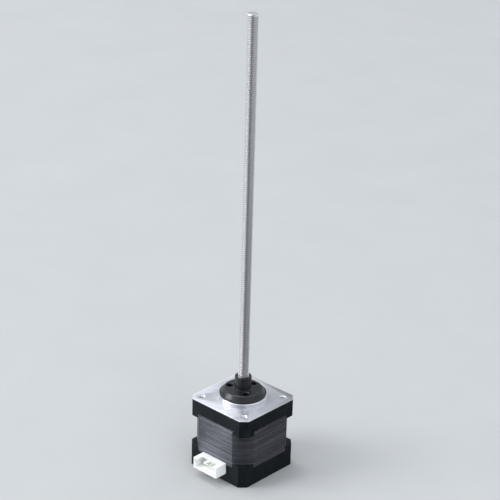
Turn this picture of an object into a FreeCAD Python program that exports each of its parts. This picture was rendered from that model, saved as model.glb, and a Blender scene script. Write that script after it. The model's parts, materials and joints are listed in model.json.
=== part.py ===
import FreeCAD, Part
import math
import os

# Hybrid stepper motor of the 35 mm frame size with a lead screw for its shaft and a flanged
# lead nut on the screw. Millimetres. The origin is where the screw's axis meets the rear face,
# +Z runs along the screw and out of the mounting face, and the connector is on the -Y side.

# Frame and stack
BODY_SIDE = 35.2
BODY_LENGTH = 34.0
CORNER_CUT = 2.95
STACK_RADIUS = 20.5
STACK_START = 8.8
STACK_END = 27.6
CAP_LEG = 2.0
LEG_CLEARANCE = 0.1
CAVITY_RADIUS = 16.2
FLOOR_THICKNESS = 2.4
FACE_THICKNESS = 3.0

# Pilot boss on the mounting face
PILOT_RADIUS = 11.0
PILOT_HEIGHT = 2.0
PILOT_CHAMFER = 0.35
SHAFT_HOLE_RADIUS = 3.6

# Fastening
HOLE_SPACING = 26.0
TAP_RADIUS = 1.25
TAP_DEPTH = 4.0
SCREW_END_DEPTH = 5.0
SCREW_RADIUS = 1.5
SCREW_GAP = 0.02
SCREW_HOLE_RADIUS = 1.6
SCREW_HEAD_RADIUS = 2.75
SCREW_HEAD_HEIGHT = 1.9
SCREW_HEAD_ROUNDING = 0.7
COUNTERBORE_RADIUS = 2.95
COUNTERBORE_DEPTH = 2.2
RECESS_LENGTH = 2.9
RECESS_WIDTH = 0.55
RECESS_DEPTH = 1.1

# Magnetic circuit
POLES = 8
YOKE_RADIUS = 14.9
POLE_WIDTH = 3.6
SHOE_BACK_RADIUS = 11.1
SHOE_EDGE_RADIUS = 10.6
STATOR_TEETH_PER_POLE = 6
STATOR_PITCH = 7.2
STATOR_TOOTH = 3.3
STATOR_BORE = 9.05
ROTOR_TEETH = 50
ROTOR_RADIUS = 8.95
TOOTH_DEPTH = 0.6
ROTOR_TOOTH = 3.2
ROTOR_START = 9.2
CUP_LENGTH = 7.8
MAGNET_LENGTH = 2.4
MAGNET_RADIUS = 7.4

# Winding
INSULATOR_PLATE = 0.7
INSULATOR_WALL = 1.0
INSULATOR_HEIGHT = 2.4
INSULATOR_LAP = 0.2
POLE_LIP_IN = 0.6
POLE_LIP_OUT = 0.4
COIL_INNER_RADIUS = 11.5
COIL_OUTER_RADIUS = 14.3
COIL_SIDE = 1.4
COIL_GAP = 0.1
COIL_END = 1.5
COIL_ROUNDING = 1.26

# Lead screw, two starts with a pitch of 1 mm, so a lead of 2 mm; modelled at its major diameter
SHAFT_RADIUS = 2.5
SHAFT_START = 0.8
SHAFT_END = 214.0
SHAFT_CHAMFER = 0.45
SEAT_GAP = 0.01

# Ball bearings, 5 x 13 x 4
BEARING_RADIUS = 6.5
BEARING_WIDTH = 4.0
INNER_LAND = 3.8
OUTER_LAND = 5.2
BALL_PITCH_RADIUS = 4.5
BALL_RADIUS = 1.0
BALL_COUNT = 8
RACE_RADIUS = 1.03
CAGE_INNER = 4.15
CAGE_OUTER = 4.85
CAGE_LOW = -0.5
CAGE_HIGH = 1.4
POCKET_RADIUS = 1.06
SHIELD_INNER = 3.95
SHIELD_LOW = 1.65
SHIELD_HIGH = 1.85
FRONT_BEARING_START = 30.4
REAR_BEARING_START = 2.1
WASHER_THICKNESS = 0.5
WASHER_INNER = 5.0
WASHER_OUTER = 6.4
COLLAR_RADIUS = 8.4
COLLAR_DROP = 0.6
SPACER_RADIUS = 3.6

# Lead nut, resting on the pilot
NUT_START = BODY_LENGTH + PILOT_HEIGHT
NUT_BORE = 2.53
FLANGE_RADIUS = 10.7
FLANGE_LIP = 0.9
SHOULDER_RADIUS = 10.1
TOP_RADIUS = 8.8
FLANGE_HEIGHT = 3.0
HUB_RADIUS = 3.8
HUB_HEIGHT = 9.1
HUB_CHAMFER = 0.3
NUT_HOLE_PCD = 12.7
NUT_HOLE_RADIUS = 1.55
NUT_HOLE_COUNT = 3
NUT_HOLE_START = 84.3

# Connector
CONTACTS = 6
CONTACT_PITCH = 2.0
CONTACT_SIZE = 0.5
HOUSING_LENGTH = 14.2
HOUSING_LOW = 4.1
HOUSING_HEIGHT = 5.4
HOUSING_REACH = 6.45
HOUSING_WALL = 0.65
HOUSING_FLOOR = 1.4
NECK_DEPTH = 1.15
NECK_INSET = 0.3
NECK_CLEARANCE = 0.3
KEY_WIDTH = 4.2
KEY_DEPTH = 3.6
KEY_GAP = 1.0
NOTCH_GAP = 0.1
PIN_TIP_INSET = 2.4
PIN_BEND = 1.45
PIN_TAPER = 0.125
BOARD_THICKNESS = 1.0
BOARD_WIDTH = 15.6
BOARD_INNER = 9.4
BOARD_OUTER = 16.3
BOARD_HOLE = 0.4
LEAD_RADIUS = 0.25

# Where each lead on the +X side stands on the board, and where it meets its coil: x, y, x, y
LEAD_ROUTES = ((1.5, -13.0, 1.5, -12.6), (6.0, -11.6, 8.6, -9.4))

Z_AXIS = FreeCAD.Vector(0, 0, 1)
HALF = BODY_SIDE / 2
SEGMENT_ANGLE = 360 / POLES

# How far a cutting shape runs past the surface that it cuts, and how near an edge's end
# has to be to a level to count as lying on it
PAST = 1.0
NEAR = 0.1


def at(x, y, z):
    return FreeCAD.Vector(x, y, z)


def box(x_low, x_high, y_low, y_high, z_low, z_high):
    return Part.makeBox(x_high - x_low, y_high - y_low, z_high - z_low, at(x_low, y_low, z_low))


def rod(radius, z_low, z_high, x=0.0, y=0.0):
    return Part.makeCylinder(radius, z_high - z_low, at(x, y, z_low))


def ring(outer, inner, z_low, z_high):
    return rod(outer, z_low, z_high).cut(rod(inner, z_low - PAST, z_high + PAST))


def turned(shape, angle):
    copy = shape.copy()
    copy.rotate(at(0, 0, 0), Z_AXIS, angle)
    return copy


def moved(shape, z):
    copy = shape.copy()
    copy.translate(at(0, 0, z))
    return copy


def polar(radius, angle, z=0.0):
    return at(radius * math.cos(math.radians(angle)), radius * math.sin(math.radians(angle)), z)


def corners():
    half = HOLE_SPACING / 2
    return [(x, y) for x in (-half, half) for y in (-half, half)]


def save(name, *solids):
    shape = solids[0] if len(solids) == 1 else Part.makeCompound(list(solids))
    shape.exportStep("parts/" + name + ".step")


def square_block(z_low, z_high):
    """The motor's square outline with its four corners cut off."""
    near = HALF - CORNER_CUT
    points = [(near, -HALF), (HALF, -near), (HALF, near), (near, HALF),
              (-near, HALF), (-HALF, near), (-HALF, -near), (-near, -HALF)]
    points.append(points[0])
    outline = Part.makePolygon([at(x, y, z_low) for x, y in points])
    return Part.Face(outline).extrude(at(0, 0, z_high - z_low))


def legs(z_low, z_high):
    """The corner feet with which a cap reaches past the round corners of the stack."""
    return square_block(z_low, z_high).cut(rod(STACK_RADIUS + LEG_CLEARANCE, z_low - PAST, z_high + PAST))


def front_cap():
    cap = square_block(STACK_END, BODY_LENGTH)
    cap = cap.fuse(legs(STACK_END - CAP_LEG, STACK_END + LEG_CLEARANCE))
    pilot = rod(PILOT_RADIUS, BODY_LENGTH - PAST, NUT_START)
    rim = [edge for edge in pilot.Edges if edge.BoundBox.ZMin > NUT_START - NEAR and edge.Closed]
    cap = cap.fuse(pilot.makeChamfer(PILOT_CHAMFER, rim))
    cavity = rod(CAVITY_RADIUS, STACK_END - CAP_LEG - PAST, BODY_LENGTH - FACE_THICKNESS)
    collar = rod(COLLAR_RADIUS, FRONT_BEARING_START - COLLAR_DROP, BODY_LENGTH - FACE_THICKNESS)
    cap = cap.cut(cavity.cut(collar))
    seat_end = FRONT_BEARING_START + BEARING_WIDTH
    cap = cap.cut(rod(BEARING_RADIUS + SEAT_GAP, STACK_START, seat_end))
    cap = cap.cut(rod(SHAFT_HOLE_RADIUS, seat_end - PAST, NUT_START + PAST))
    for x, y in corners():
        cap = cap.cut(rod(TAP_RADIUS, STACK_START, BODY_LENGTH + PAST, x, y))
        cap = cap.cut(rod(SCREW_RADIUS, STACK_START, BODY_LENGTH - TAP_DEPTH, x, y))
    return cap


def rear_cap():
    cap = square_block(0, STACK_START)
    cap = cap.fuse(legs(STACK_START - LEG_CLEARANCE, STACK_START + CAP_LEG))
    seat_end = REAR_BEARING_START + BEARING_WIDTH
    cavity = rod(CAVITY_RADIUS, FLOOR_THICKNESS, STACK_START + CAP_LEG + PAST)
    cap = cap.cut(cavity.cut(rod(COLLAR_RADIUS, FLOOR_THICKNESS, seat_end)))
    cap = cap.cut(rod(BEARING_RADIUS + SEAT_GAP, REAR_BEARING_START - WASHER_THICKNESS, BODY_LENGTH))
    cap = cap.cut(rod(SHAFT_HOLE_RADIUS, -PAST, REAR_BEARING_START))
    for x, y in corners():
        cap = cap.cut(rod(SCREW_HOLE_RADIUS, -PAST, BODY_LENGTH, x, y))
        cap = cap.cut(rod(COUNTERBORE_RADIUS, -PAST, COUNTERBORE_DEPTH, x, y))
    notch = HOUSING_LENGTH / 2 + NOTCH_GAP
    cap = cap.cut(box(-notch, notch, -HALF - PAST, -BOARD_INNER - PAST, HOUSING_LOW - NOTCH_GAP, BODY_LENGTH))
    pocket = BOARD_WIDTH / 2 + NOTCH_GAP
    return cap.cut(box(-pocket, pocket, -BOARD_OUTER - NOTCH_GAP, -BOARD_INNER, FLOOR_THICKNESS, BODY_LENGTH))


def toothed_points(centre, count, pitch, tooth, tip, root):
    """Corners of a run of teeth on a circle, each a straight-sided tooth, from low angle to high."""
    points = []
    for index in range(count):
        middle = centre + (index - (count - 1) / 2) * pitch
        points += [(root, middle - tooth / 2), (tip, middle - tooth / 2)]
        points += [(tip, middle + tooth / 2), (root, middle + tooth / 2)]
    return points


def stator_window():
    """The opening through the stack: the slots between the poles, and the bore with its teeth."""
    edges = []
    side = POLE_WIDTH / 2
    lift = math.degrees(math.asin(side / YOKE_RADIUS))
    fall = math.degrees(math.asin(side / SHOE_BACK_RADIUS))
    shoe = (STATOR_TEETH_PER_POLE - 1) / 2 * STATOR_PITCH + STATOR_TOOTH / 2
    for pole in range(POLES):
        centre = pole * SEGMENT_ANGLE
        root = STATOR_BORE + TOOTH_DEPTH
        teeth = toothed_points(centre, STATOR_TEETH_PER_POLE, STATOR_PITCH, STATOR_TOOTH, STATOR_BORE, root)
        profile = [(YOKE_RADIUS, centre - lift), (SHOE_BACK_RADIUS, centre - fall)]
        profile += [(SHOE_EDGE_RADIUS, centre - shoe)] + teeth[1:-1] + [(SHOE_EDGE_RADIUS, centre + shoe)]
        profile += [(SHOE_BACK_RADIUS, centre + fall), (YOKE_RADIUS, centre + lift)]
        places = [polar(radius, angle) for radius, angle in profile]
        edges += [Part.makeLine(a, b) for a, b in zip(places, places[1:])]
        middle = polar(YOKE_RADIUS, centre + SEGMENT_ANGLE / 2)
        end = polar(YOKE_RADIUS, centre + SEGMENT_ANGLE - lift)
        edges.append(Part.Arc(places[-1], middle, end).toShape())
    return Part.Face(Part.Wire(edges))


def stator_core():
    length = STACK_END - STACK_START
    core = box(-HALF, HALF, -HALF, HALF, STACK_START, STACK_END)
    core = core.common(rod(STACK_RADIUS, STACK_START, STACK_END))
    core = core.cut(moved(stator_window().extrude(at(0, 0, length)), STACK_START))
    for x, y in corners():
        core = core.cut(rod(SCREW_HOLE_RADIUS, STACK_START - PAST, STACK_END + PAST, x, y))
    return core


def rotor_cup(z_low, twist):
    pitch = 360 / ROTOR_TEETH
    root = ROTOR_RADIUS - TOOTH_DEPTH
    points = toothed_points(twist, ROTOR_TEETH, pitch, ROTOR_TOOTH, ROTOR_RADIUS, root)
    points.append(points[0])
    outline = Part.makePolygon([polar(radius, angle, z_low) for radius, angle in points])
    cup = Part.Face(outline).extrude(at(0, 0, CUP_LENGTH))
    return cup.cut(rod(SHAFT_RADIUS + SEAT_GAP, z_low - PAST, z_low + CUP_LENGTH + PAST))


def rear_insulator():
    """Moulded frame behind the stack: a rim on the yoke, and a plate and lip on every pole."""
    face = STACK_START
    foot = face - INSULATOR_HEIGHT
    body = ring(YOKE_RADIUS + INSULATOR_WALL, YOKE_RADIUS - INSULATOR_LAP, foot, face)
    side = POLE_WIDTH / 2
    for pole in range(POLES):
        plate = box(STATOR_BORE + TOOTH_DEPTH, YOKE_RADIUS, -side, side, face - INSULATOR_PLATE, face)
        lip = box(SHOE_EDGE_RADIUS - POLE_LIP_IN, SHOE_EDGE_RADIUS + POLE_LIP_OUT, -side, side, foot, face)
        body = body.fuse(turned(plate.fuse(lip), pole * SEGMENT_ANGLE))
    return body


def front_insulator():
    """The rear insulator's twin, mirrored about the middle of the stack."""
    return rear_insulator().mirror(at(0, 0, (STACK_START + STACK_END) / 2), Z_AXIS)


def coil():
    """One coil around the pole at +X, long way along the stack."""
    side = POLE_WIDTH / 2 + COIL_GAP
    low = STACK_START - INSULATOR_PLATE - COIL_GAP
    high = STACK_END + INSULATOR_PLATE + COIL_GAP
    turns = box(COIL_INNER_RADIUS, COIL_OUTER_RADIUS, -side - COIL_SIDE, side + COIL_SIDE,
                low - COIL_END, high + COIL_END)
    along = [edge for edge in turns.Edges if abs(edge.tangentAt(edge.FirstParameter).x) > 0.9]
    turns = turns.makeFillet(COIL_ROUNDING, along)
    return turns.cut(box(0, HALF, -side, side, low, high))


def phase(first):
    return [turned(coil(), pole * SEGMENT_ANGLE) for pole in range(first, POLES, 2)]


def lead_screw():
    shaft = rod(SHAFT_RADIUS, SHAFT_START, SHAFT_END)
    ends = [edge for edge in shaft.Edges if edge.Closed]
    return shaft.makeChamfer(SHAFT_CHAMFER, ends)


def races(z_low):
    """The track that the balls run in, as the solid to cut from both rings."""
    return Part.makeTorus(BALL_PITCH_RADIUS, RACE_RADIUS, at(0, 0, z_low + BEARING_WIDTH / 2))


def bearing_outer(z_low):
    return ring(BEARING_RADIUS, OUTER_LAND, z_low, z_low + BEARING_WIDTH).cut(races(z_low))


def bearing_inner(z_low):
    return ring(INNER_LAND, SHAFT_RADIUS + SEAT_GAP, z_low, z_low + BEARING_WIDTH).cut(races(z_low))


def bearing_shields(z_low):
    middle = z_low + BEARING_WIDTH / 2
    upper = ring(OUTER_LAND, SHIELD_INNER, middle + SHIELD_LOW, middle + SHIELD_HIGH)
    lower = ring(OUTER_LAND, SHIELD_INNER, middle - SHIELD_HIGH, middle - SHIELD_LOW)
    return [upper, lower]


def balls(z_low, radius):
    middle = z_low + BEARING_WIDTH / 2
    step = 360 / BALL_COUNT
    return [Part.makeSphere(radius, polar(BALL_PITCH_RADIUS, index * step, middle))
            for index in range(BALL_COUNT)]


def bearing_cage(z_low):
    """A crown cage: open pockets below, one closed rim above the balls."""
    middle = z_low + BEARING_WIDTH / 2
    cage = ring(CAGE_OUTER, CAGE_INNER, middle + CAGE_LOW, middle + CAGE_HIGH)
    return cage.cut(Part.makeCompound(balls(z_low, POCKET_RADIUS)))


def case_screw(x, y):
    """Pan-head screw from the rear, its tip short of the free thread in the mounting face."""
    head_end = COUNTERBORE_DEPTH
    head_start = head_end - SCREW_HEAD_HEIGHT
    head = rod(SCREW_HEAD_RADIUS, head_start, head_end, x, y)
    rim = [edge for edge in head.Edges if edge.Closed and edge.BoundBox.ZMax < head_start + NEAR]
    head = head.makeFillet(SCREW_HEAD_ROUNDING, rim)
    half_length = RECESS_LENGTH / 2
    half_width = RECESS_WIDTH / 2
    top = head_start + RECESS_DEPTH
    head = head.cut(box(x - half_length, x + half_length, y - half_width, y + half_width, -PAST, top))
    head = head.cut(box(x - half_width, x + half_width, y - half_length, y + half_length, -PAST, top))
    shank = rod(SCREW_RADIUS - SCREW_GAP, head_end - NEAR, BODY_LENGTH - SCREW_END_DEPTH, x, y)
    return head.fuse(shank)


def lead_nut():
    """Flanged round nut: thin lip, sloping shoulder, flat top with three holes, and a hub."""
    base = NUT_START
    lip = base + FLANGE_LIP
    top = base + FLANGE_HEIGHT
    hub_top = base + HUB_HEIGHT
    outline = [(NUT_BORE, base), (FLANGE_RADIUS, base), (FLANGE_RADIUS, lip), (SHOULDER_RADIUS, lip),
               (TOP_RADIUS, top), (HUB_RADIUS, top),
               (HUB_RADIUS, hub_top - HUB_CHAMFER), (HUB_RADIUS - HUB_CHAMFER, hub_top),
               (NUT_BORE, hub_top), (NUT_BORE, base)]
    section = Part.Face(Part.makePolygon([at(radius, 0, z) for radius, z in outline]))
    nut = section.revolve(at(0, 0, 0), Z_AXIS, 360)
    for index in range(NUT_HOLE_COUNT):
        centre = polar(NUT_HOLE_PCD / 2, NUT_HOLE_START + index * 360 / NUT_HOLE_COUNT)
        nut = nut.cut(rod(NUT_HOLE_RADIUS, base - PAST, hub_top, centre.x, centre.y))
    return nut


def contact_places():
    first = -(CONTACTS - 1) / 2 * CONTACT_PITCH
    return [first + index * CONTACT_PITCH for index in range(CONTACTS)]


def connector_housing():
    """Shrouded side-entry header, mouth facing -Y, with two keying slots in its upper wall."""
    half = HOUSING_LENGTH / 2
    top = HOUSING_LOW + HOUSING_HEIGHT
    mouth = -HALF - HOUSING_REACH
    housing = box(-half, half, mouth, -HALF, HOUSING_LOW, top)
    neck = half - NECK_INSET
    neck_top = STACK_START - NECK_CLEARANCE
    housing = housing.fuse(box(-neck, neck, -HALF - PAST, -HALF + NECK_DEPTH, HOUSING_LOW, neck_top))
    inner = half - HOUSING_WALL
    floor = -HALF - HOUSING_FLOOR
    ceiling = top - HOUSING_WALL
    housing = housing.cut(box(-inner, inner, mouth - PAST, floor, HOUSING_LOW + HOUSING_WALL, ceiling))
    start = KEY_GAP / 2
    for low, high in ((start, start + KEY_WIDTH), (-start - KEY_WIDTH, -start)):
        housing = housing.cut(box(low, high, mouth - PAST, mouth + KEY_DEPTH, ceiling - NEAR, top + PAST))
    side = CONTACT_SIZE / 2
    middle = HOUSING_LOW + HOUSING_HEIGHT / 2
    for x in contact_places():
        housing = housing.cut(box(x - side, x + side, floor - PAST, 0, middle - side, middle + side))
    return housing


def connector_pins():
    side = CONTACT_SIZE / 2
    middle = HOUSING_LOW + HOUSING_HEIGHT / 2
    tip = -HALF - HOUSING_REACH + PIN_TIP_INSET
    bend = -HALF + PIN_BEND
    pins = []
    for x in contact_places():
        straight = box(x - side, x + side, tip, bend + side, middle - side, middle + side)
        taper = [edge for edge in straight.Edges if edge.BoundBox.YMax < tip + NEAR]
        straight = straight.makeChamfer(PIN_TAPER, taper)
        pins.append(straight.fuse(box(x - side, x + side, bend - side, bend + side, FLOOR_THICKNESS, middle)))
    return pins


def connector_board():
    half = BOARD_WIDTH / 2
    board = box(-half, half, -BOARD_OUTER, -BOARD_INNER, FLOOR_THICKNESS, FLOOR_THICKNESS + BOARD_THICKNESS)
    for x in contact_places():
        board = board.cut(rod(BOARD_HOLE, 0, STACK_START, x, -HALF + PIN_BEND))
    return board


def winding_leads():
    """Four short leads from the rear end turns down to the board."""
    ends_low = STACK_START - INSULATOR_PLATE - COIL_GAP - COIL_END
    board_top = FLOOR_THICKNESS + BOARD_THICKNESS
    gap = box(-HALF, HALF, -HALF, 0, board_top, ends_low)
    leads = []
    for side in (-1, 1):
        for low_x, low_y, high_x, high_y in LEAD_ROUTES:
            start = at(side * low_x, low_y, board_top)
            reach = at(side * high_x, high_y, ends_low) - start
            lead = Part.makeCylinder(LEAD_RADIUS, 2 * reach.Length, start - reach * 0.5, reach)
            leads.append(lead.common(gap))
    return leads


os.makedirs("parts", exist_ok=True)

save("front_cap", front_cap())
save("rear_cap", rear_cap())
save("stator_core", stator_core())
save("front_insulator", front_insulator())
save("rear_insulator", rear_insulator())
save("phase_a_windings", *phase(0))
save("phase_b_windings", *phase(1))
save("case_screws", *[case_screw(x, y) for x, y in corners()])

save("lead_screw", lead_screw())
magnet_start = ROTOR_START + CUP_LENGTH
front_cup_start = magnet_start + MAGNET_LENGTH
save("rotor_cup_rear", rotor_cup(ROTOR_START, 180 / ROTOR_TEETH))
save("rotor_magnet", ring(MAGNET_RADIUS, SHAFT_RADIUS + SEAT_GAP, magnet_start, front_cup_start))
save("rotor_cup_front", rotor_cup(front_cup_start, 0))
rotor_end = front_cup_start + CUP_LENGTH
rear_bearing_end = REAR_BEARING_START + BEARING_WIDTH
save("rear_spacer", ring(SPACER_RADIUS, SHAFT_RADIUS + SEAT_GAP, rear_bearing_end, ROTOR_START))
save("front_spacer", ring(SPACER_RADIUS, SHAFT_RADIUS + SEAT_GAP, rotor_end, FRONT_BEARING_START))

for place, start in (("front", FRONT_BEARING_START), ("rear", REAR_BEARING_START)):
    save(place + "_bearing_outer_ring", bearing_outer(start))
    save(place + "_bearing_inner_ring", bearing_inner(start))
    save(place + "_bearing_shields", *bearing_shields(start))
    save(place + "_bearing_balls", *balls(start, BALL_RADIUS))
    save(place + "_bearing_cage", bearing_cage(start))
washer_start = REAR_BEARING_START - WASHER_THICKNESS
save("preload_washer", ring(WASHER_OUTER, WASHER_INNER, washer_start, REAR_BEARING_START))

save("lead_nut", lead_nut())

save("connector_housing", connector_housing())
save("connector_pins", *connector_pins())
save("connector_board", connector_board())
save("winding_leads", *winding_leads())
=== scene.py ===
import json
import math
import bmesh
import bpy
from mathutils import Matrix, Vector


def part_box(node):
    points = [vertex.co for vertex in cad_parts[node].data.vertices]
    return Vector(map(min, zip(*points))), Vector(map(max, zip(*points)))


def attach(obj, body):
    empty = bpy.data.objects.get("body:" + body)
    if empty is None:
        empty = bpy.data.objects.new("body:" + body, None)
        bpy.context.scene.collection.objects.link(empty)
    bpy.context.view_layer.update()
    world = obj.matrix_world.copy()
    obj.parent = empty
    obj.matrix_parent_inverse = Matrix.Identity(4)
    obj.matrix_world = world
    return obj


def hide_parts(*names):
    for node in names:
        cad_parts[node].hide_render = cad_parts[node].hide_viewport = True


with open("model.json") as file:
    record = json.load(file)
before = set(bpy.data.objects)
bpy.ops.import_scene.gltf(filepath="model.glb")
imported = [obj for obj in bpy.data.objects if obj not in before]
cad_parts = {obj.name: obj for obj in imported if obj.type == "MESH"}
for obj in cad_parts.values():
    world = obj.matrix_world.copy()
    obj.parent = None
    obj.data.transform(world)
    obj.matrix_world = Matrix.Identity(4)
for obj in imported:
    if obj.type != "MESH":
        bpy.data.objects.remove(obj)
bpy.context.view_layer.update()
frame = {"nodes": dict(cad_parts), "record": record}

# Stepper motor with a lead screw. Lengths below are millimetres, and MM turns them into metres.
MM = 0.001
SHARP_ANGLE = math.radians(32)

# Points nearer than this are one point, in a CAD node and in a thread; how near a plane a point
# has to be to lie on it; CAD faces that meet at less than the flat angle are one face
SAME_POINT = 0.0005
SAME_THREAD_POINT = 0.0004
ON_PLANE = 0.0001
FLAT_ANGLE = math.radians(0.5)

# Thread of the screw and the nut: two starts, so the lead is twice the pitch. The gap is the
# nut's play, and the steps are points round one turn
PITCH = 1.0
STARTS = 2
THREAD_DEPTH = 0.42
CREST = 0.40
FLANK = 0.15
THREAD_START = 37.0
THREAD_RUNOUT = 1.2
THREAD_GAP = 0.04
SCREW_CHAMFER = 0.45
SCREW_STEPS = 64
NUT_THREAD_STEPS = 48

# Nut: lip and flange heights, radii at the foot and the top of its shoulder and the shoulder's
# rounding, hub radius, how much wider each hole's mouth is, points round its outline, mouth of the
# bore and the radius to which the bore is turned before threading, first hole's angle
NUT_LIP = 0.9
NUT_FLANGE = 3.0
NUT_SHOULDER = 10.1
NUT_TOP = 8.8
NUT_ROUNDING = 1.1
NUT_HUB = 3.8
NUT_SINK = 0.22
NUT_STEPS = 128
NUT_MOUTH = 2.85
NUT_ROOT = 2.1
NUT_HOLE_START = 84.3

# Turned cutting shapes: the least radius at their axis, and how far they run past a surface
AXIS = 0.0001
OVER = 0.5

# Stack: thickness of a sheet, half the width and the depth of the groove between two sheets, and
# how near the outside a wall has to be to get the grooves
SHEET = 0.5
GROOVE_WIDTH = 0.07
GROOVE_DEPTH = 0.06
NEAR_OUTSIDE = 0.1

# Coils: poles, wire, layers, where the turns start and end out from the axis, half the width of a
# pole in its insulation, how far the end turns stand in from the CAD block's ends, the inmost
# corner, and the points round a corner
POLES = 8
WIRE = 0.42
LAYERS = 3
COIL_INNER = 11.5
COIL_OUTER = 14.3
POLE_SIDE = 1.9
END_TURNS = 1.4
TURN_CORNER = 0.35
CORNER_STEPS = 4

# Front cap: height of the pilot, depth of the bright edge above the paint, the four tapped M3
# holes with the radius of their countersinks and how far the tap runs past them, the width of
# broken edges, points round a drill, and the spacing and sheen of the turned face's tool marks
PILOT_HEIGHT = 2.0
PAINT_LINE = 0.08
HOLE_SPACING = 26.0
TAP_PITCH = 0.5
TAP_MAJOR = 1.5
TAP_MINOR = 1.27
TAP_CREST = 0.08
TAP_FLANK = 0.18
TAP_DEPTH = 4.0
TAP_STEPS = 32
TAP_BELOW = 0.1
TAP_ABOVE = 0.4
MOUTH_RADIUS = 1.62
CAP_EDGE = 0.14
DRILL_STEPS = 40
TOOL_FEED = 0.22
TURNED_STRETCH = 0.75

# Camera: place, aim, roll in degrees and lens
CAMERA_PLACE = (467.14, -506.43, 413.83)
CAMERA_AIM = (1.08, 1.0, 107.15)
CAMERA_ROLL = 1.58
CAMERA_LENS = 124.2

# Studio: directions, brightness of its two sides, of the gap between them as a share, of the
# weak light all round and low down, and of the zenith; the shares that the sides have below
UP = (0, 0, 1)
LEFT = (-0.84, -0.54, 0)
RIGHT = (0.75, 0.66, 0)
FRONT_RIGHT = (0.85, -0.53, 0)
LEFT_LIGHT = 0.68
RIGHT_LIGHT = 0.62
GAP_SHARE = 0.82
ROUND_LIGHT = 0.15
LOW_LIGHT = 0.04
ZENITH_LIGHT = 0.70
LEFT_BELOW = 1.18
RIGHT_BELOW = 0.02


# ---------------------------------------------------------------- materials

def new_material(name, color, metallic, roughness):
    material = bpy.data.materials.new(name)
    material.use_nodes = True
    shader = material.node_tree.nodes["Principled BSDF"]
    shader.inputs["Base Color"].default_value = (*color, 1)
    shader.inputs["Metallic"].default_value = metallic
    shader.inputs["Roughness"].default_value = roughness
    return material, material.node_tree, shader


def place(tree, stretch=(1, 1, 1)):
    """Position on the object in metres, stretched along each axis."""
    coordinates = tree.nodes.new("ShaderNodeTexCoord")
    mapping = tree.nodes.new("ShaderNodeMapping")
    mapping.inputs["Scale"].default_value = stretch
    tree.links.new(coordinates.outputs["Object"], mapping.inputs["Vector"])
    return mapping.outputs["Vector"]


def noise(tree, where, size, detail=3.0, roughness=0.55):
    """Noise whose features are about size millimetres across."""
    node = tree.nodes.new("ShaderNodeTexNoise")
    node.inputs["Scale"].default_value = 1 / (size * MM)
    node.inputs["Detail"].default_value = detail
    node.inputs["Roughness"].default_value = roughness
    tree.links.new(where, node.inputs["Vector"])
    return node.outputs["Fac"]


def ramp(tree, value, *stops):
    """Colour from value, through (position, colour) stops."""
    node = tree.nodes.new("ShaderNodeValToRGB")
    elements = node.color_ramp.elements
    while len(elements) < len(stops):
        elements.new(0.5)
    for element, (position, color) in zip(elements, stops):
        element.position = position
        element.color = (*color, 1)
    tree.links.new(value, node.inputs["Fac"])
    return node.outputs["Color"]


def remap(tree, value, low, high, start=0.3, end=0.7):
    """Value from start..end carried over to low..high."""
    node = tree.nodes.new("ShaderNodeMapRange")
    node.inputs["From Min"].default_value = start
    node.inputs["From Max"].default_value = end
    node.inputs["To Min"].default_value = low
    node.inputs["To Max"].default_value = high
    tree.links.new(value, node.inputs["Value"])
    return node.outputs["Result"]


def calculate(tree, operation, first, second=None):
    node = tree.nodes.new("ShaderNodeMath")
    node.operation = operation
    for socket, value in zip(node.inputs, (first, second)):
        if isinstance(value, (int, float)):
            socket.default_value = value
        elif value is not None:
            tree.links.new(value, socket)
    return node.outputs["Value"]


def mix_color(tree, share, first, second):
    """First where share is 0, second where it is 1; each is a socket or a plain colour."""
    node = tree.nodes.new("ShaderNodeMix")
    node.data_type = "RGBA"
    tree.links.new(share, node.inputs["Factor"])
    sockets = [s for s in node.inputs if s.type == "RGBA"]
    for socket, value in zip(sockets, (first, second)):
        if isinstance(value, tuple):
            socket.default_value = (*value, 1)
        else:
            tree.links.new(value, socket)
    return [s for s in node.outputs if s.type == "RGBA"][0]


def mix_value(tree, share, first, second):
    node = tree.nodes.new("ShaderNodeMix")
    node.data_type = "FLOAT"
    tree.links.new(share, node.inputs["Factor"])
    for socket, value in ((node.inputs["A"], first), (node.inputs["B"], second)):
        if isinstance(value, (int, float)):
            socket.default_value = value
        else:
            tree.links.new(value, socket)
    return node.outputs["Result"]


def bump(tree, shader, height, depth):
    """Surface relief of height times depth millimetres."""
    node = tree.nodes.new("ShaderNodeBump")
    node.inputs["Strength"].default_value = 1.0
    node.inputs["Distance"].default_value = depth * MM
    tree.links.new(height, node.inputs["Height"])
    tree.links.new(node.outputs["Normal"], shader.inputs["Normal"])


def radius_from_axis(tree):
    """Distance from the screw's axis, in millimetres."""
    flat = place(tree, (1000, 1000, 0))
    node = tree.nodes.new("ShaderNodeVectorMath")
    node.operation = "LENGTH"
    tree.links.new(flat, node.inputs[0])
    return node.outputs["Value"]


def height_on_object(tree):
    """Height above the rear face, in millimetres."""
    split = tree.nodes.new("ShaderNodeSeparateXYZ")
    tree.links.new(place(tree, (1000, 1000, 1000)), split.inputs["Vector"])
    return split.outputs["Z"]


PAINT_DARK = (0.005, 0.0065, 0.008)
PAINT_LIGHT = (0.011, 0.013, 0.015)
PAINT_GLOSS = 0.11
BARE_METAL = (0.42, 0.42, 0.44)
WEAR_REACH = 0.16


def paint_parts(tree):
    """Colour, roughness and relief of the satin black paint on the die-cast caps."""
    where = place(tree)
    color = ramp(tree, noise(tree, where, 4.0), (0.3, PAINT_DARK), (0.7, PAINT_LIGHT))
    roughness = remap(tree, noise(tree, where, 1.5), 0.30, 0.44)
    relief = noise(tree, where, 0.28, 2.0)
    return color, roughness, relief


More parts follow.
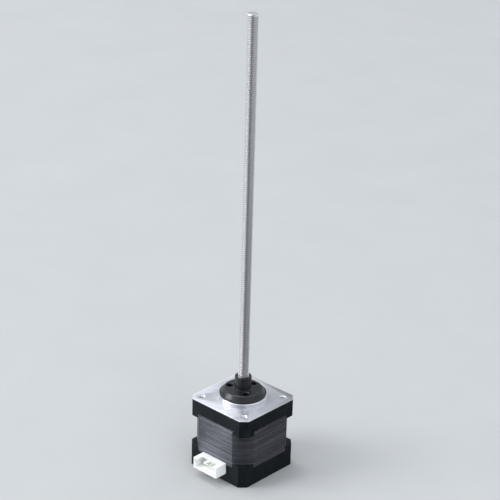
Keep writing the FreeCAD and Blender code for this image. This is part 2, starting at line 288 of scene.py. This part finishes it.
def edge_wear(tree, reach):
    """One along outer edges within reach millimetres, where the paint has rubbed off in patches."""
    rounded = tree.nodes.new("ShaderNodeBevel")
    rounded.samples = 6
    rounded.inputs["Radius"].default_value = reach * MM
    surface = tree.nodes.new("ShaderNodeNewGeometry")
    turn = tree.nodes.new("ShaderNodeVectorMath")
    turn.operation = "DOT_PRODUCT"
    tree.links.new(rounded.outputs["Normal"], turn.inputs[0])
    tree.links.new(surface.outputs["Normal"], turn.inputs[1])
    at_edge = remap(tree, turn.outputs["Value"], 1.0, 0.0, 0.90, 0.985)
    patches = remap(tree, noise(tree, place(tree), 1.6, 4.0), 0.0, 1.0, 0.50, 0.60)
    return calculate(tree, "MULTIPLY", at_edge, patches)


def black_paint():
    material, tree, shader = new_material("black_paint", PAINT_DARK, 0.0, 0.38)
    shader.inputs["Specular IOR Level"].default_value = PAINT_GLOSS
    color, roughness, relief = paint_parts(tree)
    worn = edge_wear(tree, WEAR_REACH)
    tree.links.new(mix_color(tree, worn, color, BARE_METAL), shader.inputs["Base Color"])
    tree.links.new(worn, shader.inputs["Metallic"])
    tree.links.new(roughness, shader.inputs["Roughness"])
    bump(tree, shader, relief, 0.012)
    return material


def turned_direction(tree, shader):
    """Stretches highlights across the circular tool marks of a turned face."""
    along = tree.nodes.new("ShaderNodeTangent")
    along.direction_type = "RADIAL"
    along.axis = "Z"
    tree.links.new(along.outputs["Tangent"], shader.inputs["Tangent"])
    shader.inputs["Anisotropic"].default_value = TURNED_STRETCH
    shader.inputs["Anisotropic Rotation"].default_value = 0.25


def machined_mask(tree):
    """One where the front cap is cut bright: above the paint line, and inside its tapped holes."""
    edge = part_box("front_cap")[1].z / MM - PILOT_HEIGHT - PAINT_LINE
    bright_top = remap(tree, height_on_object(tree), 0.0, 1.0, edge - 0.03, edge)
    flat = place(tree, (1000, 1000, 0))
    folded = tree.nodes.new("ShaderNodeVectorMath")
    folded.operation = "ABSOLUTE"
    tree.links.new(flat, folded.inputs[0])
    offset = tree.nodes.new("ShaderNodeVectorMath")
    offset.operation = "DISTANCE"
    tree.links.new(folded.outputs["Vector"], offset.inputs[0])
    offset.inputs[1].default_value = (HOLE_SPACING / 2, HOLE_SPACING / 2, 0)
    in_hole = remap(tree, offset.outputs["Value"], 1.0, 0.0, MOUTH_RADIUS, MOUTH_RADIUS + 0.03)
    return calculate(tree, "MAXIMUM", bright_top, in_hole)


def front_cap_finish():
    """Black paint on the sides; the mounting face, the pilot and the tapped holes are cut bright
    after painting, and the face keeps the fine circles of the turning tool."""
    material, tree, shader = new_material("front_cap_finish", (0.7, 0.7, 0.72), 0.5, 0.35)
    shader.inputs["Specular IOR Level"].default_value = PAINT_GLOSS
    turned_direction(tree, shader)
    paint_color, paint_roughness, paint_relief = paint_parts(tree)
    bright = machined_mask(tree)
    radius = radius_from_axis(tree)
    where = place(tree)
    cloudy = noise(tree, where, 3.5)
    color = ramp(tree, cloudy, (0.3, (0.70, 0.695, 0.735)), (0.7, (0.77, 0.765, 0.805)))
    tool_marks = calculate(tree, "SINE", calculate(tree, "MULTIPLY", radius, 2 * math.pi / TOOL_FEED))
    worn = noise(tree, where, 0.8, 4.0)
    roughness = remap(tree, worn, 0.29, 0.35)
    relief = calculate(tree, "ADD", calculate(tree, "MULTIPLY", tool_marks, 0.3), worn)
    metal = calculate(tree, "MAXIMUM", bright, edge_wear(tree, WEAR_REACH))
    tree.links.new(mix_color(tree, metal, paint_color, color), shader.inputs["Base Color"])
    tree.links.new(metal, shader.inputs["Metallic"])
    tree.links.new(mix_value(tree, bright, paint_roughness, roughness), shader.inputs["Roughness"])
    bump(tree, shader, mix_value(tree, bright, paint_relief, relief), 0.003)
    return material


def lamination_steel():
    """Sheared sheet edges: every sheet has a tone of its own, broken by smears along it."""
    material, tree, shader = new_material("lamination_steel", (0.2, 0.19, 0.22), 0.9, 0.5)
    level = place(tree, (0.02, 0.02, 1))
    sheets = noise(tree, level, 0.30, 1.0)
    bundles = noise(tree, level, 0.9, 1.0)
    smears = noise(tree, place(tree, (1, 1, 10)), 2.4, 5.0)
    layers = calculate(tree, "ADD", calculate(tree, "MULTIPLY", sheets, 0.30),
                       calculate(tree, "MULTIPLY", bundles, 0.30))
    tone = calculate(tree, "ADD", layers, calculate(tree, "MULTIPLY", smears, 0.40))
    color = ramp(tree, tone, (0.36, (0.047, 0.048, 0.054)), (0.50, (0.092, 0.093, 0.105)),
                 (0.64, (0.180, 0.180, 0.204)))
    tree.links.new(color, shader.inputs["Base Color"])
    tree.links.new(remap(tree, smears, 0.34, 0.50), shader.inputs["Roughness"])
    bump(tree, shader, smears, 0.02)
    return material


def rolled_stainless():
    """Bright rolled thread, rougher in the roots and with its colour darkened there as painted shade,
    with fine lines along the helix.
    """
    material, tree, shader = new_material("rolled_stainless", (0.7, 0.69, 0.69), 1.0, 0.25)
    radius = radius_from_axis(tree)
    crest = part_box("lead_screw")[1].x / MM
    # One on the crests and nought in the roots: it makes the roots rougher, and it lightens the crests
    # and darkens the roots as painted shade.
    crest_polish_and_root_shade = remap(tree, radius, 0.0, 1.0, crest - THREAD_DEPTH, crest - 0.05)
    grain = noise(tree, place(tree, (1, 1, 5)), 0.6, 4.0)
    color = mix_color(tree, crest_polish_and_root_shade,
                      ramp(tree, grain, (0.3, (0.62, 0.61, 0.61)), (0.7, (0.73, 0.72, 0.72))),
                      ramp(tree, grain, (0.3, (0.80, 0.79, 0.80)), (0.7, (0.91, 0.90, 0.91))))
    tree.links.new(color, shader.inputs["Base Color"])
    rough_roots = remap(tree, grain, 0.36, 0.48)
    rough_crests = remap(tree, grain, 0.26, 0.36)
    tree.links.new(mix_value(tree, crest_polish_and_root_shade, rough_roots, rough_crests), shader.inputs["Roughness"])
    bump(tree, shader, grain, 0.006)
    return material


def simple(name, dark, light, metallic, rough_low, rough_high, patch, grain, depth, stretch=(1, 1, 1)):
    """A material whose colour and gloss drift in patches, over a fine grain, sizes in millimetres."""
    material, tree, shader = new_material(name, light, metallic, rough_high)
    where = place(tree, stretch)
    patches = noise(tree, where, patch)
    tree.links.new(ramp(tree, patches, (0.3, dark), (0.7, light)), shader.inputs["Base Color"])
    fine = noise(tree, where, grain, 4.0)
    tree.links.new(remap(tree, fine, rough_low, rough_high), shader.inputs["Roughness"])
    bump(tree, shader, fine, depth)
    return material, shader


def acetal():
    material, shader = simple("black_acetal", (0.004, 0.005, 0.0065), (0.009, 0.0095, 0.012), 0.0,
                              0.28, 0.38, 3.0, 0.35, 0.005)
    shader.inputs["Specular IOR Level"].default_value = 0.45
    return material


def nylon():
    material, shader = simple("white_nylon", (0.80, 0.81, 0.80), (0.90, 0.90, 0.88), 0.0,
                              0.38, 0.52, 2.5, 0.30, 0.008)
    shader.inputs["Subsurface Weight"].default_value = 0.5
    shader.inputs["Subsurface Radius"].default_value = (0.0016, 0.0016, 0.0017)
    return material


def copper():
    material, shader = simple("enamelled_copper", (0.42, 0.13, 0.035), (0.66, 0.26, 0.08), 0.9,
                              0.22, 0.38, 1.2, 0.2, 0.004)
    shader.inputs["Coat Weight"].default_value = 0.6
    shader.inputs["Coat Roughness"].default_value = 0.15
    return material


def make_materials():
    made = {
        "front_cap_metal": front_cap_finish(),
        "rear_cap_metal": black_paint(),
        "laminations": lamination_steel(),
        "screw_stainless": rolled_stainless(),
        "nut_acetal": acetal(),
        "connector_plastic": nylon(),
        "enamelled_copper": copper(),
    }
    plain = {
        "insulator_plastic": ((0.70, 0.66, 0.54), (0.82, 0.79, 0.68), 0.0, 0.45, 0.6, 3.0, 0.4, 0.01),
        "screw_steel": ((0.20, 0.20, 0.21), (0.36, 0.36, 0.38), 1.0, 0.30, 0.45, 1.0, 0.15, 0.006),
        "bearing_steel": ((0.66, 0.66, 0.67), (0.80, 0.80, 0.81), 1.0, 0.10, 0.18, 2.0, 0.12, 0.002),
        "shield_steel": ((0.46, 0.46, 0.47), (0.62, 0.62, 0.63), 1.0, 0.28, 0.42, 1.5, 0.2, 0.006),
        "tinned_contacts": ((0.62, 0.60, 0.55), (0.78, 0.76, 0.71), 1.0, 0.22, 0.34, 0.8, 0.1, 0.003),
        "board_laminate": ((0.012, 0.075, 0.030), (0.022, 0.12, 0.05), 0.0, 0.25, 0.4, 1.2, 0.25, 0.01),
        "rotor_steel": ((0.20, 0.20, 0.21), (0.36, 0.36, 0.37), 0.9, 0.34, 0.5, 1.0, 0.2, 0.01),
        "magnet": ((0.48, 0.47, 0.44), (0.60, 0.59, 0.56), 1.0, 0.24, 0.36, 1.4, 0.25, 0.006),
        "cage_plastic": ((0.62, 0.55, 0.40), (0.74, 0.68, 0.54), 0.0, 0.4, 0.55, 1.0, 0.2, 0.01),
    }
    for name, values in plain.items():
        made[name] = simple(name, *values)[0]
    return made


# ---------------------------------------------------------------- meshes

def paint(obj, material):
    obj.data.materials.clear()
    obj.data.materials.append(material)


def shade_smooth(obj):
    """Smooth shading that stays crisp across real edges."""
    mesh = obj.data
    mesh.shade_smooth()
    edges = bmesh.new()
    edges.from_mesh(mesh)
    for edge in edges.edges:
        if len(edge.link_faces) == 2 and edge.calc_face_angle(0) > SHARP_ANGLE:
            edge.smooth = False
    edges.to_mesh(mesh)
    edges.free()


def add_object(name, work, node):
    """Turns a bmesh into a piece that stands for the CAD node and rides on its body."""
    bmesh.ops.recalc_face_normals(work, faces=work.faces)
    mesh = bpy.data.meshes.new(name)
    work.to_mesh(mesh)
    work.free()
    obj = bpy.data.objects.new(name, mesh)
    bpy.context.scene.collection.objects.link(obj)
    finish_piece(obj, node)
    return obj


def finish_piece(obj, node):
    shade_smooth(obj)
    slot = slots[node]
    paint(obj, materials[slot])
    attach(obj, body_of[node])
    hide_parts(node)


def copy_of(node):
    """A bmesh of a CAD node with its split points joined."""
    work = bmesh.new()
    work.from_mesh(frame["nodes"][node].data)
    bmesh.ops.remove_doubles(work, verts=work.verts, dist=SAME_POINT * MM)
    return work


def soften(obj, width):
    """Rounds an object's edges with modifiers, without touching its mesh."""
    weld = obj.modifiers.new("join", "WELD")
    weld.merge_threshold = SAME_POINT * MM
    flat = obj.modifiers.new("flat", "DECIMATE")
    flat.decimate_type = "DISSOLVE"
    flat.angle_limit = FLAT_ANGLE
    bevel = obj.modifiers.new("round", "BEVEL")
    bevel.width = width * MM
    bevel.segments = 2
    bevel.limit_method = "ANGLE"
    bevel.angle_limit = SHARP_ANGLE
    bevel.harden_normals = False
    bevel.use_clamp_overlap = True
    obj.data.shade_smooth()
    obj.modifiers.new("shade", "WEIGHTED_NORMAL").keep_sharp = True


class Thread:
    """Sizes of a trapezoidal thread in millimetres: a crest, two flanks and a root in one pitch."""

    def __init__(self, major, depth, pitch, starts, crest, flank):
        self.major = major
        self.depth = depth
        self.pitch = pitch
        self.lead = pitch * starts
        self.starts = starts
        self.crest = crest
        self.flank = flank

    def stations(self):
        """Places along one pitch where the profile is sampled."""
        middle = (self.crest + self.pitch) / 2
        return [0.0, self.crest / 2, self.crest, self.crest + self.flank, middle, self.pitch - self.flank]

    def radius(self, along):
        along = along % self.pitch
        if along < self.crest:
            return self.major
        if along < self.crest + self.flank:
            return self.major - self.depth * (along - self.crest) / self.flank
        if along < self.pitch - self.flank:
            return self.major - self.depth
        return self.major - self.depth * (self.pitch - along) / self.flank


def threaded_rod(thread, low, high, steps, runout=None, chamfer=0.0):
    """A right-handed threaded rod as a skin that follows the helix, cut square and closed at both
    ends. Below runout the thread fades into a plain shank; chamfer tapers the upper end."""
    rows = thread.stations()
    first = math.floor(low / thread.pitch) - thread.starts - 1
    last = math.ceil(high / thread.pitch) + 1
    stations = [turn * thread.pitch + part for turn in range(first, last) for part in rows]
    shift = thread.starts * len(rows)
    work = bmesh.new()
    grid = []
    for station in stations:
        row = []
        for step in range(steps):
            turn = step / steps
            z = station + thread.lead * turn
            radius = thread.radius(station)
            if runout is not None:
                fade = min(1.0, max(0.0, (z - runout) / THREAD_RUNOUT))
                radius = thread.major - (thread.major - radius) * fade
            radius = min(radius, thread.major - chamfer + max(0.0, high - z))
            angle = 2 * math.pi * turn
            x = radius * math.cos(angle) * MM
            y = radius * math.sin(angle) * MM
            row.append(work.verts.new((x, y, z * MM)))
        grid.append(row)
    for index, (here, above) in enumerate(zip(grid, grid[1:])):
        for step in range(steps - 1):
            work.faces.new((here[step], here[step + 1], above[step + 1], above[step]))
        if index + 1 + shift < len(grid):
            seam, seam_above = grid[index + shift], grid[index + 1 + shift]
            work.faces.new((here[-1], seam[0], seam_above[0], above[-1]))
    for z, up in ((low, -1), (high, 1)):
        everything = work.verts[:] + work.edges[:] + work.faces[:]
        bmesh.ops.bisect_plane(work, geom=everything, plane_co=(0, 0, z * MM), plane_no=(0, 0, up),
                               clear_outer=True)
        rim = [edge for edge in work.edges if edge.is_boundary
               and all(abs(vert.co.z - z * MM) < ON_PLANE * MM for vert in edge.verts)]
        bmesh.ops.contextual_create(work, geom=rim)
    bmesh.ops.remove_doubles(work, verts=work.verts, dist=SAME_THREAD_POINT * MM)
    return work


def lead_screw():
    low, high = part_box("lead_screw")
    work = threaded_rod(Thread(high.x / MM, THREAD_DEPTH, PITCH, STARTS, CREST, FLANK),
                        low.z / MM, high.z / MM, SCREW_STEPS, THREAD_START, SCREW_CHAMFER)
    return add_object("threaded_lead_screw", work, "lead_screw")


def lathe(outline, steps):
    """Turns a closed outline of (radius, height) in millimetres round the axis."""
    work = bmesh.new()
    rings = []
    for step in range(steps):
        angle = 2 * math.pi * step / steps
        rings.append([work.verts.new((r * math.cos(angle) * MM, r * math.sin(angle) * MM, z * MM))
                      for r, z in outline])
    for step in range(steps):
        here, there = rings[step], rings[(step + 1) % steps]
        for index in range(len(outline)):
            after = (index + 1) % len(outline)
            work.faces.new((here[index], there[index], there[after], here[after]))
    return work


def round_corners(points, steps=5):
    """An outline from (radius, height, corner radius) points, with each corner rounded."""
    outline = []
    count = len(points)
    for index, (r, z, size) in enumerate(points):
        here = Vector((r, z))
        if size == 0:
            outline.append((r, z))
            continue
        before = (Vector(points[index - 1][:2]) - here).normalized()
        after = (Vector(points[(index + 1) % count][:2]) - here).normalized()
        half = before.angle(after) / 2
        reach = size / math.tan(half)
        start = here + before * reach
        end = here + after * reach
        for step in range(steps + 1):
            share = step / steps
            flat = start.lerp(here, share).lerp(here.lerp(end, share), share)
            outline.append((flat.x, flat.y))
    return outline


def cutter(name, work):
    mesh = bpy.data.meshes.new(name)
    bmesh.ops.recalc_face_normals(work, faces=work.faces)
    work.to_mesh(mesh)
    work.free()
    obj = bpy.data.objects.new(name, mesh)
    bpy.context.scene.collection.objects.link(obj)
    return obj


def cut(work, cutters):
    """The bmesh with every cutter object taken away from it; the cutters are used up."""
    base = cutter("base", work)
    for tool in cutters:
        step = base.modifiers.new(tool.name, "BOOLEAN")
        step.operation = "DIFFERENCE"
        step.solver = "EXACT"
        step.object = tool
    shown = bpy.context.evaluated_depsgraph_get()
    result = bmesh.new()
    result.from_mesh(bpy.data.meshes.new_from_object(base.evaluated_get(shown)))
    for obj in [base, *cutters]:
        bpy.data.objects.remove(obj)
    return result


def shifted(work, x, y):
    bmesh.ops.translate(work, vec=(x * MM, y * MM, 0), verts=work.verts)
    return work


def lead_nut():
    """Round nut: thin lip, sloping shoulder, flat top with three holes, a hub, and a bore
    whose thread has the screw's shape with a little play."""
    low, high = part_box("lead_nut")
    base, top = low.z / MM, high.z / MM
    wide = high.x / MM
    face = base + NUT_FLANGE
    outline = round_corners([
        (NUT_ROOT, base, 0), (wide, base, 0.4), (wide, base + NUT_LIP, 0.2),
        (NUT_SHOULDER, base + NUT_LIP, 0.1), (NUT_TOP, face, NUT_ROUNDING), (NUT_HUB, face, 0.3),
        (NUT_HUB, top, 0.28), (NUT_MOUTH, top, 0.08), (NUT_ROOT, top + NUT_ROOT - NUT_MOUTH, 0)])
    body = lathe(outline, NUT_STEPS)
    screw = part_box("lead_screw")[1].x / MM
    thread = Thread(screw + THREAD_GAP, THREAD_DEPTH, PITCH, STARTS, CREST + 2 * THREAD_GAP, FLANK)
    inside = threaded_rod(thread, base - OVER, top + OVER, NUT_THREAD_STEPS)
    bmesh.ops.translate(inside, vec=(0, 0, -THREAD_GAP * MM), verts=inside.verts)
    tools = [cutter("thread", inside)]
    mount = next(m for m in frame["record"]["mounts"] if m["name"] == "nut_flange")
    hole = mount["dims"]["hole_r_mm"]
    ring = mount["dims"]["pcd_mm"] / 2
    for index in range(mount["dims"]["count"]):
        angle = math.radians(NUT_HOLE_START + index * 360 / mount["dims"]["count"])
        x, y = ring * math.cos(angle), ring * math.sin(angle)
        tools.append(hole_cutter(hole, hole + NUT_SINK, base - OVER, face, x, y))
    return add_object("flanged_lead_nut", cut(body, tools), "lead_nut")


def hole_cutter(radius, mouth, low, face, x, y):
    """A drill with a countersink of radius mouth at the height face."""
    sink = mouth - radius
    tool = lathe([(AXIS, low), (radius, low), (radius, face - sink), (mouth, face),
                  (mouth + OVER, face + OVER), (AXIS, face + OVER)], DRILL_STEPS)
    bmesh.ops.remove_doubles(tool, verts=tool.verts, dist=10 * AXIS * MM)
    return cutter("drill", shifted(tool, x, y))


def tapped_front_cap():
    """The front cap with its outer edges broken and real M3 threads in its four holes."""
    node = "front_cap"
    cap = cutter("cap", copy_of(node))
    soften(cap, CAP_EDGE)
    shown = bpy.context.evaluated_depsgraph_get()
    work = bmesh.new()
    work.from_mesh(bpy.data.meshes.new_from_object(cap.evaluated_get(shown)))
    bpy.data.objects.remove(cap)
    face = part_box(node)[1].z / MM - PILOT_HEIGHT
    bottom = face - TAP_DEPTH - TAP_BELOW
    thread = Thread(TAP_MAJOR, TAP_MAJOR - TAP_MINOR, TAP_PITCH, 1, TAP_CREST, TAP_FLANK)
    tools = []
    for x in (-HOLE_SPACING / 2, HOLE_SPACING / 2):
        for y in (-HOLE_SPACING / 2, HOLE_SPACING / 2):
            tap = threaded_rod(thread, bottom, face + TAP_ABOVE, TAP_STEPS)
            tools.append(cutter("tap", shifted(tap, x, y)))
            tools.append(hole_cutter(TAP_MINOR, MOUTH_RADIUS, bottom, face, x, y))
    return add_object("tapped_front_cap", cut(work, tools), node)


def sheet_grooves(node, name, low, high):
    """A copy of a stacked core with a fine groove round its outside at every joint between sheets."""
    work = copy_of(node)
    near = NEAR_OUTSIDE * MM
    side = max(vert.co.x for vert in work.verts) - near
    reach = max(vert.co.xy.length for vert in work.verts) - near

    def outside(face):
        centre = face.calc_center_median()
        return max(abs(centre.x), abs(centre.y)) > side or centre.xy.length > reach

    count = round((high - low) / SHEET)
    levels = [low + (high - low) * index / count for index in range(1, count)]
    for level in levels:
        for z in (level - GROOVE_WIDTH, level, level + GROOVE_WIDTH):
            walls = [face for face in work.faces if outside(face)]
            edges = list(dict.fromkeys(edge for face in walls for edge in face.edges))
            verts = list(dict.fromkeys(vert for face in walls for vert in face.verts))
            bmesh.ops.bisect_plane(work, geom=verts + edges + walls, plane_co=(0, 0, z * MM),
                                   plane_no=(0, 0, 1))
    work.normal_update()
    moves = []
    for vert in work.verts:
        z = vert.co.z / MM
        nearest = min(levels, key=lambda level: abs(level - z))
        if abs(nearest - z) < SAME_POINT:
            out = Vector((vert.normal.x, vert.normal.y, 0))
            if out.length > 0.5:
                moves.append((vert, out.normalized() * GROOVE_DEPTH * MM))
    for vert, step in moves:
        vert.co -= step
    return add_object(name, work, node)


def wound_coil(name, node, poles):
    """Coils of separate turns: each turn is a rounded loop of wire round its pole, and every
    second layer lies in the gaps of the one below."""
    low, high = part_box(node)
    work = bmesh.new()
    turns = int((COIL_OUTER - COIL_INNER) / WIRE)
    for pole in poles:
        turn_about = Matrix.Rotation(math.radians(360 / POLES * pole), 4, "Z")
        for layer in range(LAYERS):
            grow = (layer + 0.5) * WIRE
            bottom = low.z / MM + END_TURNS - grow
            top = high.z / MM - END_TURNS + grow
            path = loop_path(POLE_SIDE + grow, bottom, top, TURN_CORNER + grow * 0.8)
            for index in range(turns - layer % 2):
                radius = COIL_INNER + WIRE * (index + 0.5 + 0.5 * (layer % 2))
                tube(work, [turn_about @ Vector((radius, y, z)) for y, z in path], WIRE / 2)
    return add_object(name, work, node)


def loop_path(half_width, bottom, top, corner):
    """Points round a rectangle with round corners, in the plane across a pole."""
    points = []
    right, left = half_width - corner, corner - half_width
    lower, upper = bottom + corner, top - corner
    centres = ((right, lower), (right, upper), (left, upper), (left, lower))
    for index, (y, z) in enumerate(centres):
        for step in range(CORNER_STEPS + 1):
            angle = math.radians(90 * (index - 1 + step / CORNER_STEPS))
            points.append((y + corner * math.cos(angle), z + corner * math.sin(angle)))
    return points


def tube(work, path, radius, sides=6):
    """Sweeps a small round section round a closed path of points in millimetres."""
    rings = []
    count = len(path)
    for index, point in enumerate(path):
        along = (path[(index + 1) % count] - path[index - 1]).normalized()
        across = along.orthogonal() if index == 0 else (across - along * across.dot(along))
        across.normalize()
        other = along.cross(across)
        rings.append([work.verts.new((point + across * radius * math.cos(2 * math.pi * step / sides)
                                      + other * radius * math.sin(2 * math.pi * step / sides)) * MM)
                      for step in range(sides)])
    for index in range(count):
        here, there = rings[index], rings[(index + 1) % count]
        for step in range(sides):
            following = (step + 1) % sides
            work.faces.new((here[step], here[following], there[following], there[step]))


# ---------------------------------------------------------------- stage

def floor():
    """A plain pale floor. Reflections pass it by, so that the black caps and the steel sides
    mirror the studio round them; from below it is clear."""
    bpy.ops.mesh.primitive_plane_add(size=60)
    plane = bpy.context.object
    plane.name = "floor"
    material, tree, shader = new_material("floor", (0.40, 0.40, 0.40), 0.0, 0.7)
    grain = noise(tree, place(tree), 40.0)
    color = ramp(tree, grain, (0.2, (0.39, 0.39, 0.39)), (0.8, (0.41, 0.41, 0.41)))
    tree.links.new(color, shader.inputs["Base Color"])
    clear = tree.nodes.new("ShaderNodeBsdfTransparent")
    either = tree.nodes.new("ShaderNodeMixShader")
    side = tree.nodes.new("ShaderNodeNewGeometry")
    tree.links.new(side.outputs["Backfacing"], either.inputs["Fac"])
    tree.links.new(shader.outputs["BSDF"], either.inputs[1])
    tree.links.new(clear.outputs["BSDF"], either.inputs[2])
    tree.links.new(either.outputs["Shader"], tree.nodes["Material Output"].inputs["Surface"])
    plane.visible_glossy = False
    paint(plane, material)


def area_light(name, place_m, aim_m, size, power, color=(1, 1, 1)):
    data = bpy.data.lights.new(name, "AREA")
    data.shape = "RECTANGLE"
    data.size, data.size_y = size
    data.energy = power
    data.color = color
    obj = bpy.data.objects.new(name, data)
    obj.location = place_m
    obj.rotation_euler = (Vector(aim_m) - Vector(place_m)).to_track_quat("-Z", "Y").to_euler()
    bpy.context.scene.collection.objects.link(obj)
    return obj


def sky_direction(tree, flat):
    """The direction looked in, or its compass part alone when flat."""
    coordinates = tree.nodes.new("ShaderNodeTexCoord")
    part = tree.nodes.new("ShaderNodeVectorMath")
    part.operation = "MULTIPLY"
    part.inputs[1].default_value = (1, 1, 0) if flat else (1, 1, 1)
    tree.links.new(coordinates.outputs["Generated"], part.inputs[0])
    unit = tree.nodes.new("ShaderNodeVectorMath")
    unit.operation = "NORMALIZE"
    tree.links.new(part.outputs["Vector"], unit.inputs[0])
    return unit.outputs["Vector"]


def glow(tree, toward, start, end, low, high, flat=True):
    """Light that rises from low to high as the cosine of the angle from the direction toward
    rises from start to end."""
    node = tree.nodes.new("ShaderNodeVectorMath")
    node.operation = "DOT_PRODUCT"
    node.inputs[1].default_value = Vector(toward).normalized()
    tree.links.new(sky_direction(tree, flat), node.inputs[0])
    spread = tree.nodes.new("ShaderNodeMapRange")
    spread.interpolation_type = "SMOOTHSTEP"
    spread.inputs["From Min"].default_value = start
    spread.inputs["From Max"].default_value = end
    spread.inputs["To Min"].default_value = low
    spread.inputs["To Max"].default_value = high
    tree.links.new(node.outputs["Value"], spread.inputs["Value"])
    return spread.outputs["Result"]


def studio():
    """Soft surroundings: bright on the left, about as bright on the right but dark below it, a
    dimmer gap towards the front right, a weak light all round and a soft one above. The camera
    itself sees a plain pale backdrop."""
    world = bpy.data.worlds.new("studio")
    world.use_nodes = True
    tree = world.node_tree
    background = tree.nodes["Background"]
    background.inputs["Color"].default_value = (0.90, 0.95, 1.0, 1)
    left = calculate(tree, "MULTIPLY", glow(tree, LEFT, 0.0, 0.45, 0.0, LEFT_LIGHT),
                     glow(tree, UP, -0.55, -0.3, LEFT_BELOW, 1.0, flat=False))
    right = calculate(tree, "MULTIPLY", glow(tree, RIGHT, 0.0, 0.5, 0.0, RIGHT_LIGHT),
                      glow(tree, UP, -0.48, -0.26, RIGHT_BELOW, 1.0, flat=False))
    gap = glow(tree, FRONT_RIGHT, 0.72, 0.96, 1.0, GAP_SHARE)
    around = calculate(tree, "MULTIPLY", calculate(tree, "ADD", left, right), gap)
    above = calculate(tree, "ADD", glow(tree, UP, 0.35, 0.9, 0.0, ZENITH_LIGHT, flat=False),
                      glow(tree, UP, -0.5, -0.25, LOW_LIGHT, ROUND_LIGHT, flat=False))
    tree.links.new(calculate(tree, "ADD", around, above), background.inputs["Strength"])
    backdrop = tree.nodes.new("ShaderNodeBackground")
    backdrop.inputs["Color"].default_value = (0.66, 0.67, 0.68, 1)
    seen = tree.nodes.new("ShaderNodeLightPath")
    either = tree.nodes.new("ShaderNodeMixShader")
    tree.links.new(seen.outputs["Is Camera Ray"], either.inputs["Fac"])
    tree.links.new(background.outputs["Background"], either.inputs[1])
    tree.links.new(backdrop.outputs["Background"], either.inputs[2])
    tree.links.new(either.outputs["Shader"], tree.nodes["World Output"].inputs["Surface"])
    bpy.context.scene.world = world


def lights():
    """Three lamps up on the left, and a fill on the right that no reflection shows. Places and
    sizes are metres, and powers watts."""
    area_light("key", (-2.02, -2.38, 2.1), (0, 0, 0.06), (1.7, 1.7), 97, (0.95, 0.98, 1.0))
    area_light("window", (-2.8, 1.45, 1.6), (0, 0, 0.04), (1.0, 1.0), 1.8, (0.93, 0.97, 1.0))
    area_light("lamp", (-0.9, 0.05, 3.2), (0, 0, 0.04), (0.66, 0.66), 19, (0.95, 0.98, 1.0))
    fill = area_light("fill", (2.9, -1.2, 1.0), (0, 0, 0.02), (2.0, 2.0), 44, (0.90, 0.95, 1.0))
    fill.visible_glossy = False


def camera():
    data = bpy.data.cameras.new("camera")
    data.lens = CAMERA_LENS
    data.sensor_width = 36
    obj = bpy.data.objects.new("camera", data)
    obj.location = Vector(CAMERA_PLACE) * MM
    forward = Vector(CAMERA_AIM) * MM - obj.location
    roll = Matrix.Rotation(math.radians(CAMERA_ROLL), 4, "Z")
    obj.rotation_euler = (forward.to_track_quat("-Z", "Y").to_matrix().to_4x4() @ roll).to_euler()
    bpy.context.scene.collection.objects.link(obj)
    bpy.context.scene.camera = obj


# ---------------------------------------------------------------- build

slots = {part["node"]: part["material_slot"] for part in frame["record"]["subparts"]}
body_of = {node: body for body, nodes in frame["record"]["behaviour"]["bodies"].items() for node in nodes}
materials = make_materials()
for node, obj in frame["nodes"].items():
    paint(obj, materials[slots[node]])

# How far the edges of each CAD node are rounded
EDGES = {"rear_cap": 0.16, "connector_housing": 0.09, "connector_pins": 0.04,
         "case_screws": 0.06, "connector_board": 0.05, "front_insulator": 0.08, "rear_insulator": 0.08,
         "front_spacer": 0.1, "rear_spacer": 0.1, "rotor_magnet": 0.15,
         "front_bearing_outer_ring": 0.12, "rear_bearing_outer_ring": 0.12,
         "front_bearing_inner_ring": 0.1, "rear_bearing_inner_ring": 0.1}
for node, width in EDGES.items():
    soften(frame["nodes"][node], width)

tapped_front_cap()
lead_screw()
lead_nut()
stack_low, stack_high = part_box("stator_core")
sheet_grooves("stator_core", "laminated_stack", stack_low.z / MM, stack_high.z / MM)
wound_coil("phase_a_coils", "phase_a_windings", range(0, POLES, 2))
wound_coil("phase_b_coils", "phase_b_windings", range(1, POLES, 2))

bpy.context.scene.view_settings.view_transform = "Standard"
floor()
studio()
lights()
camera()
